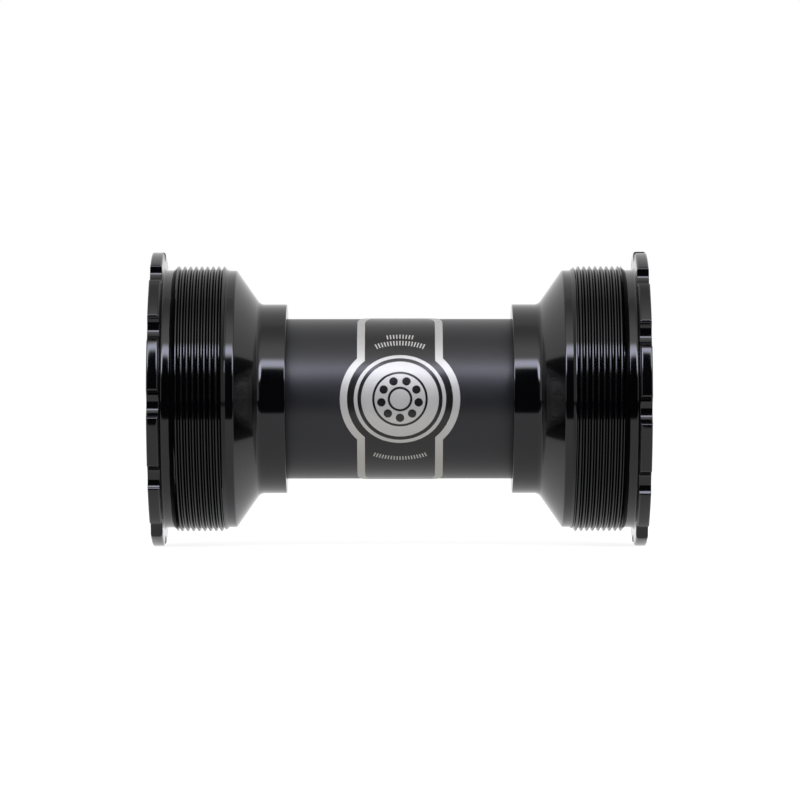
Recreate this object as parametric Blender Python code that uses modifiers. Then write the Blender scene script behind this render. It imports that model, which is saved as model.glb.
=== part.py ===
"""Threaded bottom bracket for a bicycle frame.

A T47 cup on each side of a centre sleeve, a 25 x 37 x 7 cartridge ball bearing in each
cup, and a bushing in each bearing for a 24 mm crank spindle. Metres, +Z up. The origin is
the middle of the assembly on the spindle's axis, and +X points to the drive side, whose
cup has a left-hand thread.

Run it with: blender --background --python part.py
"""

import math

import bmesh
import bpy
from mathutils import Matrix, Vector

# Places along the axis are distances "u" from the part's centre plane, and r is a radius.
# Each cup is the mirror image of the other one.

# Cup: collar around the sleeve, cone, thread, relief and tool flange
COLLAR_END = 0.01987
COLLAR_RADIUS = 0.01675
CONE_END = 0.02877
CONE_SLOPE = 1.43
CONE_FOOT_FILLET = 0.0014
LAND_RADIUS = 0.02275
THREAD_START = 0.0303
THREAD_END = 0.0399
THREAD_CREST_RADIUS = 0.02350
THREAD_ROOT_RADIUS = 0.02289
THREAD_PITCH = 0.0010
THREAD_RUN_OUT = 0.0010
THREAD_CORE_RADIUS = 0.0210
FLANGE_INNER_FACE = 0.0415
FLANGE_OUTER_FACE = 0.0436
FLANGE_RADIUS = 0.0261
FLANGE_BEVEL = 0.0003
UNDERCUT_RADIUS = 0.02370
UNDERCUT_DEPTH = 0.0001

# Twelve tool notches in each flange
NOTCH_COUNT = 12
NOTCH_WIDTH = 0.0048
NOTCH_FLOOR_RADIUS = 0.0243
NOTCH_FLOOR_FILLET = 0.0013
NOTCH_LIP = 0.0004
NOTCH_TURN = {"drive": -4.5, "non_drive": -1.9}

# Inside of a cup
SLEEVE_BORE_RADIUS = 0.01425
O_RING_GROOVE_RADIUS = 0.01545
O_RING_GROOVE_START = 0.0220
O_RING_GROOVE_END = 0.0239
LIP_START = 0.0273
LIP_END = 0.0285
LIP_RADIUS = 0.01330
CHAMBER_RADIUS = 0.01700
BEARING_SHOULDER = 0.0359
SEAT_RADIUS = 0.01850
SEAT_BEVEL = 0.0004

# Centre sleeve and its label
SLEEVE_HALF_LENGTH = 0.0270
SLEEVE_OUTER_RADIUS = 0.01415
SLEEVE_INNER_RADIUS = 0.01315
SLEEVE_BEVEL = 0.0002
LABEL_INNER_RADIUS = 0.01417
LABEL_THICKNESS = 0.00015
LABEL_HALF_LENGTH = 0.0245
LABEL_BAND_HALF_WIDTH = 0.0075
LABEL_DISC_RADIUS = 0.0105
LABEL_CENTRE_TURN = -89.8
LABEL_COLUMN = 0.0012
LABEL_END_STEPS = 9

# O-ring between the sleeve and a cup's collar
O_RING_CENTRE_RADIUS = 0.01480
O_RING_SECTION_RADIUS = 0.00048

# Cartridge bearing, 25 x 37 x 7
BEARING_START = 0.0360
BEARING_WIDTH = 0.0070
BEARING_BORE_RADIUS = 0.01250
BEARING_OUTER_RADIUS = 0.01845
RACE_BEVEL = 0.0003
INNER_LAND_RADIUS = 0.01440
OUTER_LAND_RADIUS = 0.01660
PITCH_RADIUS = 0.01550
BALL_COUNT = 14
BALL_RADIUS = 0.00175
OUTER_GROOVE_RADIUS = 0.00193
INNER_GROOVE_RADIUS = 0.00183
GROOVE_STEPS = 4
SEAL_RECESS_RADIUS = 0.01730
SEAL_RECESS_DEPTH = 0.0008
SEAL_OUTER_RADIUS = 0.01715
SEAL_INNER_RADIUS = 0.01460
SEAL_THICKNESS = 0.0005
SEAL_INSET = 0.00015
CAGE_INNER_RADIUS = 0.01505
CAGE_OUTER_RADIUS = 0.01610
CAGE_WIDTH = 0.0044
CAGE_POCKET_RADIUS = 0.00190

# Bushing between a bearing and the crank spindle
BUSHING_BORE_RADIUS = 0.01206
BUSHING_OUTER_RADIUS = 0.01245
BUSHING_INNER_END = 0.0363
BUSHING_FLANGE_RADIUS = 0.01730
BUSHING_FLANGE_START = 0.04312
BUSHING_FLANGE_END = 0.04360
BUSHING_BEVEL = 0.0001

ROUND_STEPS = 32
SMALL_RING_STEPS = 24
O_RING_SIDES = 6
POCKET_SIDES = 12
SHARP_ANGLE = math.radians(30)
MERGE_DISTANCE = 0.000001
CUTTER_MARGIN = 0.0008

BEARING_CENTRE = BEARING_START + BEARING_WIDTH / 2
BEARING_END = BEARING_START + BEARING_WIDTH


# Scene, materials and small helpers


def clear_scene():
    """Remove every object that the scene holds."""
    for obj in list(bpy.data.objects):
        bpy.data.objects.remove(obj, do_unlink=True)


def new_collection(name):
    """Add a collection to the scene and return it."""
    collection = bpy.data.collections.new(name)
    bpy.context.scene.collection.children.link(collection)
    return collection


def new_material(name, colour, roughness, metallic):
    """A Principled BSDF material with one colour."""
    material = bpy.data.materials.new(name)
    material.use_nodes = True
    shader = material.node_tree.nodes["Principled BSDF"]
    shader.inputs["Base Color"].default_value = (*colour, 1.0)
    shader.inputs["Roughness"].default_value = roughness
    shader.inputs["Metallic"].default_value = metallic
    material.diffuse_color = (*colour, 1.0)
    return material


def axis_empty(name, collection, turn_degrees):
    """An empty on the spindle's axis whose local Z points along the world's X axis."""
    empty = bpy.data.objects.new(name, None)
    empty.rotation_euler = (0.0, math.radians(turn_degrees), 0.0)
    collection.objects.link(empty)
    return empty


def place(name, mesh, collection, parent, u=0.0):
    """Link a new object that holds the mesh, u metres along its parent's axis."""
    obj = bpy.data.objects.new(name, mesh)
    obj.parent = parent
    obj.location = (0.0, 0.0, u)
    collection.objects.link(obj)
    return obj


def as_cutter(obj):
    """Mark an object as a helper that isn't a part."""
    obj.hide_render = True
    obj.display_type = "WIRE"
    return obj


def boolean(obj, tool, operation):
    """Join the tool to the object, or cut it away from it."""
    modifier = obj.modifiers.new(operation.lower(), "BOOLEAN")
    modifier.operation = operation
    modifier.solver = "EXACT"
    modifier.object = tool


def apply_modifiers(obj):
    """Replace the object's mesh with the one that its modifiers make, and return it."""
    graph = bpy.context.evaluated_depsgraph_get()
    mesh = bpy.data.meshes.new_from_object(obj.evaluated_get(graph))
    mesh.name = obj.name
    obj.modifiers.clear()
    obj.data = mesh
    return mesh


def settle(obj, material):
    """Apply the object's modifiers, shade it smooth with sharp edges, and give it its material."""
    mesh = apply_modifiers(obj)
    mesh.shade_smooth()
    mesh.set_sharp_from_angle(angle=SHARP_ANGLE)
    mesh.materials.clear()
    mesh.materials.append(material)
    return obj


# Outlines of turned shapes


def corner(u, r, rounding=0.0, steps=1):
    """One corner of an outline. A rounding of one step is a bevel."""
    return (u, r, rounding, steps)


def outline(corners):
    """The points of a closed outline through the corners, with each rounding as an arc."""
    points = []
    for index, (u, r, rounding, steps) in enumerate(corners):
        here = Vector((u, r))
        if rounding == 0.0:
            points.append(here)
            continue
        back = (Vector(corners[index - 1][:2]) - here).normalized()
        on = (Vector(corners[(index + 1) % len(corners)][:2]) - here).normalized()
        half_angle = back.angle(on) / 2
        reach = rounding / math.tan(half_angle)
        centre = here + (back + on).normalized() * rounding / math.sin(half_angle)
        first = (here + back * reach - centre).normalized()
        last = (here + on * reach - centre).normalized()
        for step in range(steps + 1):
            points.append(centre + rounding * first.slerp(last, step / steps))
    return points


def groove_corners(radius, land_radius, outward):
    """Corners of a ball groove's arc where it cuts a race's land, from larger u to smaller."""
    rise = land_radius - PITCH_RADIUS
    start = math.atan2(abs(rise), math.sqrt(radius**2 - rise**2))
    sign = 1 if outward else -1
    corners = []
    for step in range(GROOVE_STEPS + 1):
        angle = start + (math.pi - 2 * start) * step / GROOVE_STEPS
        u = BEARING_CENTRE + radius * math.cos(angle)
        corners.append(corner(u, PITCH_RADIUS + sign * radius * math.sin(angle)))
    return corners


def turned_mesh(name, points, u_origin):
    """A mesh that holds a closed outline as edges in the XZ plane, for a Screw modifier."""
    pairs = list(zip(points, points[1:] + points[:1]))
    turn = sum(a.x * b.y - b.x * a.y for a, b in pairs)
    ordered = points if turn > 0 else points[::-1]
    count = len(ordered)
    mesh = bpy.data.meshes.new(name)
    verts = [(point.y, 0.0, point.x - u_origin) for point in ordered]
    mesh.from_pydata(verts, [(i, (i + 1) % count) for i in range(count)], [])
    return mesh


def turned(name, corners, collection, parent, u_origin=0.0, steps=ROUND_STEPS):
    """A ring turned about its parent's axis from the outline's corners."""
    mesh = turned_mesh(name, outline(corners), u_origin)
    obj = place(name, mesh, collection, parent, u_origin)
    screw = obj.modifiers.new("turn", "SCREW")
    screw.steps = steps
    screw.render_steps = steps
    screw.use_merge_vertices = True
    screw.merge_threshold = MERGE_DISTANCE
    return obj


# Cup


def cup_corners():
    """Outline of a cup without its thread, out along its outside and back through its bore."""
    cone_start = CONE_END - (LAND_RADIUS - COLLAR_RADIUS) / CONE_SLOPE
    undercut = FLANGE_INNER_FACE + UNDERCUT_DEPTH
    return [
        corner(COLLAR_END, COLLAR_RADIUS, 0.0002),
        corner(cone_start, COLLAR_RADIUS, CONE_FOOT_FILLET, 3),
        corner(CONE_END, LAND_RADIUS, 0.0003),
        corner(undercut, LAND_RADIUS),
        corner(undercut, UNDERCUT_RADIUS),
        corner(FLANGE_INNER_FACE, UNDERCUT_RADIUS + UNDERCUT_DEPTH),
        corner(FLANGE_INNER_FACE, FLANGE_RADIUS, FLANGE_BEVEL),
        corner(FLANGE_OUTER_FACE, FLANGE_RADIUS, FLANGE_BEVEL),
        corner(FLANGE_OUTER_FACE, SEAT_RADIUS, SEAT_BEVEL),
        corner(BEARING_SHOULDER, SEAT_RADIUS),
        corner(BEARING_SHOULDER, CHAMBER_RADIUS),
        corner(LIP_END, CHAMBER_RADIUS),
        corner(LIP_END, LIP_RADIUS),
        corner(LIP_START, LIP_RADIUS),
        corner(LIP_START, SLEEVE_BORE_RADIUS),
        corner(O_RING_GROOVE_END, SLEEVE_BORE_RADIUS),
        corner(O_RING_GROOVE_END, O_RING_GROOVE_RADIUS),
        corner(O_RING_GROOVE_START, O_RING_GROOVE_RADIUS),
        corner(O_RING_GROOVE_START, SLEEVE_BORE_RADIUS),
        corner(COLLAR_END, SLEEVE_BORE_RADIUS, 0.0003),
    ]


def trim(shape, u, direction):
    """Cut a bmesh at a plane across the axis, drop what is past it and close the cut."""
    geometry = shape.verts[:] + shape.edges[:] + shape.faces[:]
    bmesh.ops.bisect_plane(
        shape,
        geom=geometry,
        dist=MERGE_DISTANCE,
        plane_co=(0.0, 0.0, u),
        plane_no=(0.0, 0.0, direction),
        clear_outer=True,
    )
    rim = [edge for edge in shape.edges if all(abs(v.co.z - u) < MERGE_DISTANCE for v in edge.verts)]
    bmesh.ops.holes_fill(shape, edges=rim)


def threaded_rod(name, collection, parent):
    """A solid rod with a right-hand V thread, longer at both ends than the cup's thread."""
    start = THREAD_START - 2 * THREAD_PITCH
    mesh = bpy.data.meshes.new(name)
    verts = [
        (THREAD_ROOT_RADIUS, 0.0, start),
        (THREAD_CREST_RADIUS, 0.0, start + THREAD_PITCH / 2),
        (THREAD_ROOT_RADIUS, 0.0, start + THREAD_PITCH),
    ]
    mesh.from_pydata(verts, [(0, 1), (1, 2)], [])
    rod = as_cutter(place(name, mesh, collection, parent))
    screw = rod.modifiers.new("helix", "SCREW")
    screw.steps = ROUND_STEPS
    screw.render_steps = ROUND_STEPS
    screw.screw_offset = THREAD_PITCH
    screw.iterations = math.ceil((THREAD_END - start) / THREAD_PITCH) + 1
    mesh = apply_modifiers(rod)
    shape = bmesh.new()
    shape.from_mesh(mesh)
    bmesh.ops.remove_doubles(shape, verts=shape.verts[:], dist=MERGE_DISTANCE)
    trim(shape, THREAD_START - THREAD_PITCH / 4, -1.0)
    trim(shape, THREAD_END + THREAD_PITCH / 4, 1.0)
    bmesh.ops.recalc_face_normals(shape, faces=shape.faces[:])
    shape.to_mesh(mesh)
    shape.free()
    return rod


def thread_envelope(name, collection, parent):
    """The ring that the thread stays inside, which tapers both of its ends."""
    above = THREAD_CREST_RADIUS + CUTTER_MARGIN
    below = LAND_RADIUS - THREAD_PITCH / 4
    envelope = as_cutter(turned(name, [
        corner(THREAD_START, below),
        corner(THREAD_START + THREAD_RUN_OUT, above),
        corner(THREAD_END - THREAD_RUN_OUT, above),
        corner(THREAD_END, below),
        corner(THREAD_END, THREAD_CORE_RADIUS),
        corner(THREAD_START, THREAD_CORE_RADIUS),
    ], collection, parent))
    envelope.rotation_euler = (0.0, 0.0, math.pi / ROUND_STEPS)
    return envelope


def notch_points():
    """Cross-section of a tool notch's cutter, as (across, r) points."""
    half = NOTCH_WIDTH / 2
    lip_radius = FLANGE_RADIUS - NOTCH_LIP
    top = FLANGE_RADIUS + CUTTER_MARGIN
    flare = half + NOTCH_LIP + CUTTER_MARGIN
    return outline([
        corner(half, NOTCH_FLOOR_RADIUS, NOTCH_FLOOR_FILLET, 3),
        corner(half, lip_radius),
        corner(flare, top),
        corner(-flare, top),
        corner(-half, lip_radius),
        corner(-half, NOTCH_FLOOR_RADIUS, NOTCH_FLOOR_FILLET, 3),
    ])


def notch_cutters(name, collection, parent, turn):
    """One mesh with the cutters of all of a flange's tool notches."""
    cutters = bmesh.new()
    start = FLANGE_INNER_FACE - CUTTER_MARGIN
    length = FLANGE_OUTER_FACE + CUTTER_MARGIN - start
    for index in range(NOTCH_COUNT):
        angle = math.radians(turn) + math.tau * index / NOTCH_COUNT
        spin = Matrix.Rotation(angle, 3, "Z")
        section = [cutters.verts.new(spin @ Vector((p.y, p.x, start))) for p in notch_points()]
        face = cutters.faces.new(section)
        swept = bmesh.ops.extrude_face_region(cutters, geom=[face])
        moved = [item for item in swept["geom"] if isinstance(item, bmesh.types.BMVert)]
        bmesh.ops.translate(cutters, verts=moved, vec=(0.0, 0.0, length))
    bmesh.ops.recalc_face_normals(cutters, faces=cutters.faces[:])
    mesh = bpy.data.meshes.new(name)
    cutters.to_mesh(mesh)
    cutters.free()
    return as_cutter(place(name, mesh, collection, parent))


def build_cup(side, parts, cutters, axis, material):
    """A cup with its outside thread and its tool notches. The drive side's is mirrored."""
    rod = threaded_rod(f"{side}_threaded_rod", cutters, axis)
    boolean(rod, thread_envelope(f"{side}_thread_envelope", cutters, axis), "INTERSECT")
    notches = notch_cutters(f"{side}_notch_cutters", cutters, axis, NOTCH_TURN[side])
    cup = turned(f"{side}_cup", cup_corners(), parts, axis)
    boolean(cup, rod, "UNION")
    boolean(cup, notches, "DIFFERENCE")
    settle(cup, material)
    if side == "drive":
        cup.data.transform(Matrix.Scale(-1.0, 4, (0.0, 1.0, 0.0)))
        cup.data.flip_normals()


# Centre sleeve and label


def build_sleeve(parts, axis, material):
    """The tube that joins the two cups and keeps water off the spindle."""
    sleeve = turned("center_sleeve", [
        corner(-SLEEVE_HALF_LENGTH, SLEEVE_OUTER_RADIUS, SLEEVE_BEVEL),
        corner(SLEEVE_HALF_LENGTH, SLEEVE_OUTER_RADIUS, SLEEVE_BEVEL),
        corner(SLEEVE_HALF_LENGTH, SLEEVE_INNER_RADIUS, SLEEVE_BEVEL),
        corner(-SLEEVE_HALF_LENGTH, SLEEVE_INNER_RADIUS, SLEEVE_BEVEL),
    ], parts, axis)
    settle(sleeve, material)


def label_columns():
    """(distance around the sleeve, half width) of each column of the label, in order."""
    band_end = LABEL_HALF_LENGTH - LABEL_BAND_HALF_WIDTH
    disc_edge = math.sqrt(LABEL_DISC_RADIUS**2 - LABEL_BAND_HALF_WIDTH**2)
    half = []
    disc_steps = math.ceil(disc_edge / LABEL_COLUMN)
    for step in range(disc_steps + 1):
        along = disc_edge * step / disc_steps
        half.append((along, math.sqrt(LABEL_DISC_RADIUS**2 - along**2)))
    band_steps = math.ceil((band_end - disc_edge) / LABEL_COLUMN)
    for step in range(1, band_steps + 1):
        along = disc_edge + (band_end - disc_edge) * step / band_steps
        half.append((along, LABEL_BAND_HALF_WIDTH))
    for step in range(1, LABEL_END_STEPS):
        angle = math.pi / 2 * step / LABEL_END_STEPS
        along = band_end + LABEL_BAND_HALF_WIDTH * math.sin(angle)
        half.append((along, LABEL_BAND_HALF_WIDTH * math.cos(angle)))
    return [(-along, width) for along, width in half[:0:-1]] + half


def build_label(parts, axis, material):
    """A thin film around the sleeve: a band with round ends and a round middle."""
    film = bmesh.new()
    grid = []
    for along, half_width in label_columns():
        angle = math.radians(LABEL_CENTRE_TURN) + along / LABEL_INNER_RADIUS
        x = LABEL_INNER_RADIUS * math.cos(angle)
        y = LABEL_INNER_RADIUS * math.sin(angle)
        grid.append([film.verts.new((x, y, z)) for z in (-half_width, half_width)])
    for (low, high), (next_low, next_high) in zip(grid, grid[1:]):
        film.faces.new((low, next_low, next_high, high))
    mesh = bpy.data.meshes.new("label")
    film.to_mesh(mesh)
    film.free()
    label = place("label", mesh, parts, axis)
    solidify = label.modifiers.new("thickness", "SOLIDIFY")
    solidify.thickness = LABEL_THICKNESS
    solidify.offset = 1.0
    settle(label, material)


# Bearing, bushing and O-ring


def build_outer_race(side, parts, axis, material):
    """The bearing's outer ring, with a seal recess in each face."""
    near = BEARING_START + SEAL_RECESS_DEPTH
    far = BEARING_END - SEAL_RECESS_DEPTH
    race = turned(f"{side}_outer_race", [
        corner(BEARING_START, BEARING_OUTER_RADIUS),
        corner(BEARING_END, BEARING_OUTER_RADIUS),
        corner(BEARING_END, SEAL_RECESS_RADIUS),
        corner(far, SEAL_RECESS_RADIUS),
        corner(far, OUTER_LAND_RADIUS),
        *groove_corners(OUTER_GROOVE_RADIUS, OUTER_LAND_RADIUS, True),
        corner(near, OUTER_LAND_RADIUS),
        corner(near, SEAL_RECESS_RADIUS),
        corner(BEARING_START, SEAL_RECESS_RADIUS),
    ], parts, axis, BEARING_CENTRE)
    settle(race, material)


def build_inner_race(side, parts, axis, material):
    """The bearing's inner ring."""
    race = turned(f"{side}_inner_race", [
        corner(BEARING_START, BEARING_BORE_RADIUS),
        corner(BEARING_END, BEARING_BORE_RADIUS),
        corner(BEARING_END, INNER_LAND_RADIUS, RACE_BEVEL),
        *groove_corners(INNER_GROOVE_RADIUS, INNER_LAND_RADIUS, False),
        corner(BEARING_START, INNER_LAND_RADIUS, RACE_BEVEL),
    ], parts, axis, BEARING_CENTRE)
    settle(race, material)


def ball_turn(index):
    """Angle of a ball about the axis."""
    return math.tau * index / BALL_COUNT


def pocket_cutters(name, collection, parent):
    """One mesh with the radial cylinders that open the cage's pockets."""
    cutters = bmesh.new()
    depth = CAGE_OUTER_RADIUS - CAGE_INNER_RADIUS + 2 * CUTTER_MARGIN
    reach = (CAGE_OUTER_RADIUS + CAGE_INNER_RADIUS) / 2
    for index in range(BALL_COUNT):
        turn = Matrix.Rotation(ball_turn(index), 4, "Z")
        lie_down = Matrix.Rotation(math.pi / 2, 4, "Y")
        bmesh.ops.create_cone(
            cutters,
            cap_ends=True,
            segments=POCKET_SIDES,
            radius1=CAGE_POCKET_RADIUS,
            radius2=CAGE_POCKET_RADIUS,
            depth=depth,
            matrix=turn @ Matrix.Translation((reach, 0.0, 0.0)) @ lie_down,
        )
    mesh = bpy.data.meshes.new(name)
    cutters.to_mesh(mesh)
    cutters.free()
    return as_cutter(place(name, mesh, collection, parent, BEARING_CENTRE))


def build_cage(side, parts, cutters, axis, material):
    """The ring that keeps the balls apart."""
    half = CAGE_WIDTH / 2
    cage = turned(f"{side}_ball_cage", [
        corner(BEARING_CENTRE - half, CAGE_OUTER_RADIUS),
        corner(BEARING_CENTRE + half, CAGE_OUTER_RADIUS),
        corner(BEARING_CENTRE + half, CAGE_INNER_RADIUS),
        corner(BEARING_CENTRE - half, CAGE_INNER_RADIUS),
    ], parts, axis, BEARING_CENTRE, 2 * BALL_COUNT)
    boolean(cage, pocket_cutters(f"{side}_pocket_cutters", cutters, axis), "DIFFERENCE")
    settle(cage, material)


def ball_mesh(material):
    """The mesh that all of the balls share."""
    shape = bmesh.new()
    bmesh.ops.create_icosphere(shape, subdivisions=2, radius=BALL_RADIUS)
    mesh = bpy.data.meshes.new("ball")
    shape.to_mesh(mesh)
    shape.free()
    mesh.shade_smooth()
    mesh.materials.append(material)
    return mesh


def build_balls(side, mesh, parts, axis):
    """The ring of balls, each of them its own object."""
    for index in range(BALL_COUNT):
        ball = place(f"{side}_ball_{index + 1:02d}", mesh, parts, axis)
        spin = Matrix.Rotation(ball_turn(index), 3, "Z")
        ball.location = spin @ Vector((PITCH_RADIUS, 0.0, BEARING_CENTRE))


def build_seal(name, start, parts, axis, material):
    """A flat rubber seal in a recess of the outer race."""
    seal = turned(name, [
        corner(start, SEAL_OUTER_RADIUS),
        corner(start + SEAL_THICKNESS, SEAL_OUTER_RADIUS),
        corner(start + SEAL_THICKNESS, SEAL_INNER_RADIUS),
        corner(start, SEAL_INNER_RADIUS),
    ], parts, axis, start, SMALL_RING_STEPS)
    settle(seal, material)


def build_bushing(side, parts, axis, material):
    """The flanged bushing that the spindle turns in step with, pressed into the inner race."""
    bushing = turned(f"{side}_spindle_bushing", [
        corner(BUSHING_INNER_END, BUSHING_OUTER_RADIUS, BUSHING_BEVEL),
        corner(BUSHING_FLANGE_START, BUSHING_OUTER_RADIUS),
        corner(BUSHING_FLANGE_START, BUSHING_FLANGE_RADIUS),
        corner(BUSHING_FLANGE_END, BUSHING_FLANGE_RADIUS, BUSHING_BEVEL),
        corner(BUSHING_FLANGE_END, BUSHING_BORE_RADIUS),
        corner(BUSHING_INNER_END, BUSHING_BORE_RADIUS),
    ], parts, axis, BUSHING_FLANGE_START)
    settle(bushing, material)


def build_o_ring(side, parts, axis, material):
    """The O-ring that grips the sleeve inside a cup's collar."""
    u = (O_RING_GROOVE_START + O_RING_GROOVE_END) / 2
    ring = turned(f"{side}_sleeve_o_ring", [
        corner(
            u + O_RING_SECTION_RADIUS * math.cos(math.tau * side_index / O_RING_SIDES),
            O_RING_CENTRE_RADIUS
            + O_RING_SECTION_RADIUS * math.sin(math.tau * side_index / O_RING_SIDES),
        )
        for side_index in range(O_RING_SIDES)
    ], parts, axis, u, SMALL_RING_STEPS)
    settle(ring, material)


# Assembly


def build_side(side, turn_degrees, parts, cutters, materials):
    """Everything on one side: cup, O-ring, bearing and bushing."""
    axis = axis_empty(f"{side}_axis", parts, turn_degrees)
    build_cup(side, parts, cutters, axis, materials["anodised"])
    build_o_ring(side, parts, axis, materials["rubber"])
    build_outer_race(side, parts, axis, materials["bearing_steel"])
    build_inner_race(side, parts, axis, materials["bearing_steel"])
    build_cage(side, parts, cutters, axis, materials["nylon"])
    build_balls(side, ball_mesh(materials["ball_steel"]), parts, axis)
    inboard_start = BEARING_START + SEAL_INSET
    outboard_start = BEARING_END - SEAL_INSET - SEAL_THICKNESS
    build_seal(f"{side}_inboard_seal", inboard_start, parts, axis, materials["seal"])
    build_seal(f"{side}_outboard_seal", outboard_start, parts, axis, materials["seal"])
    build_bushing(side, parts, axis, materials["acetal"])


def build():
    """Build the whole bottom bracket."""
    clear_scene()
    parts = new_collection("bottom_bracket")
    cutters = new_collection("cutters")
    materials = {
        "anodised": new_material("anodised_black", (0.012, 0.012, 0.014), 0.18, 0.6),
        "sleeve": new_material("sleeve_black", (0.016, 0.016, 0.018), 0.38, 0.0),
        "label": new_material("label_film", (0.02, 0.02, 0.02), 0.30, 0.2),
        "bearing_steel": new_material("bearing_steel", (0.60, 0.60, 0.62), 0.22, 1.0),
        "ball_steel": new_material("ball_steel", (0.75, 0.75, 0.77), 0.06, 1.0),
        "nylon": new_material("cage_nylon", (0.70, 0.66, 0.56), 0.45, 0.0),
        "seal": new_material("seal_rubber", (0.015, 0.015, 0.016), 0.60, 0.0),
        "rubber": new_material("o_ring_rubber", (0.01, 0.01, 0.01), 0.50, 0.0),
        "acetal": new_material("bushing_acetal", (0.02, 0.02, 0.022), 0.40, 0.0),
    }
    centre_axis = axis_empty("centre_axis", parts, 90.0)
    build_sleeve(parts, centre_axis, materials["sleeve"])
    build_label(parts, centre_axis, materials["label"])
    build_side("drive", 90.0, parts, cutters, materials)
    build_side("non_drive", -90.0, parts, cutters, materials)
    bpy.context.view_layer.update()


build()
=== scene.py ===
"""Looks of a threaded bicycle bottom bracket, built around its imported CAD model.

Two black anodised cups, a centre sleeve with a wrapped label, and in each cup a cartridge
ball bearing, a spindle bushing and a sleeve O-ring. Sizes are in millimetres and angles in
degrees. Places use the CAD model's frame: +X is the drive side and +Z is up. A point of a
round piece is given by its distance "u" from the centre plane, its radius "r" and its angle
"phi", which is 0 at the front (-Y) and 90 at the top.
"""

import logging
import math
from dataclasses import dataclass, field
from enum import Enum
from typing import Any, Callable, Sequence

import bmesh
import bpy
import numpy as np
from mathutils import Matrix, Vector


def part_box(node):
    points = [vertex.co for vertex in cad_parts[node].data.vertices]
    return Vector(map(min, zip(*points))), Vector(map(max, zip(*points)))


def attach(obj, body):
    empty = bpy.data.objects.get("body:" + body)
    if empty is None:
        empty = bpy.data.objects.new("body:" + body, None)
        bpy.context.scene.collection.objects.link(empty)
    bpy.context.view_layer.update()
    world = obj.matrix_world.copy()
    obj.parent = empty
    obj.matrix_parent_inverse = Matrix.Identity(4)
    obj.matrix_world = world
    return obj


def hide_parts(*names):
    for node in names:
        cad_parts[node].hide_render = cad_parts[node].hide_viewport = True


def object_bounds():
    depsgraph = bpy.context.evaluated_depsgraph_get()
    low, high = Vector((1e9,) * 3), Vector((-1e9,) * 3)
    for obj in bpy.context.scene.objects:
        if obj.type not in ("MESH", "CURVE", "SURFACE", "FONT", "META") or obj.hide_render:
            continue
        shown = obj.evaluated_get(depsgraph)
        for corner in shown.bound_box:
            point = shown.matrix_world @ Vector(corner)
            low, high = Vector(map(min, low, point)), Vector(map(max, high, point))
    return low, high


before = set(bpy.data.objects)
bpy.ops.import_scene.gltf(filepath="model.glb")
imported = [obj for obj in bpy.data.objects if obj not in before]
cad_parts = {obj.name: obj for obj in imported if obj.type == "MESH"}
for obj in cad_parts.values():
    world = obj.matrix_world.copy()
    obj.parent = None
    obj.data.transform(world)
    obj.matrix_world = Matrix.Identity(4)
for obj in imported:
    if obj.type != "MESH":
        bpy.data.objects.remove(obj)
CAD_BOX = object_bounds()

LOG = logging.getLogger("bottom_bracket")
MM = 0.001
SHARP_ANGLE = math.radians(32)
WELD_DISTANCE = 1e-7
PLAIN_SPECULAR = 0.5
BLACK = (0.0, 0.0, 0.0, 1.0)
WHITE = (1.0, 1.0, 1.0, 1.0)


class Side(Enum):
    """The two ends of the bracket, named for the bicycle's chain."""

    DRIVE = "drive"
    NON_DRIVE = "non_drive"

    @property
    def sign(self) -> float:
        """1 on the +X side and -1 on the -X side."""
        return 1.0 if self is Side.DRIVE else -1.0

    def node(self, piece: str) -> str:
        """The name of this side's CAD node or body for a piece."""
        return f"{self.value}_{piece}"


class Slot(Enum):
    """The material slots of the CAD record."""

    CUP = "anodised_cup"
    SLEEVE = "sleeve"
    LABEL = "label"
    BEARING_STEEL = "bearing_steel"
    BALL_STEEL = "ball_steel"
    CAGE = "cage_nylon"
    SEAL = "seal_rubber"
    BUSHING = "bushing_acetal"
    O_RING = "o_ring_rubber"


# --- Node sheets: short calls for the shader nodes that the finishes share ---


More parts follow.
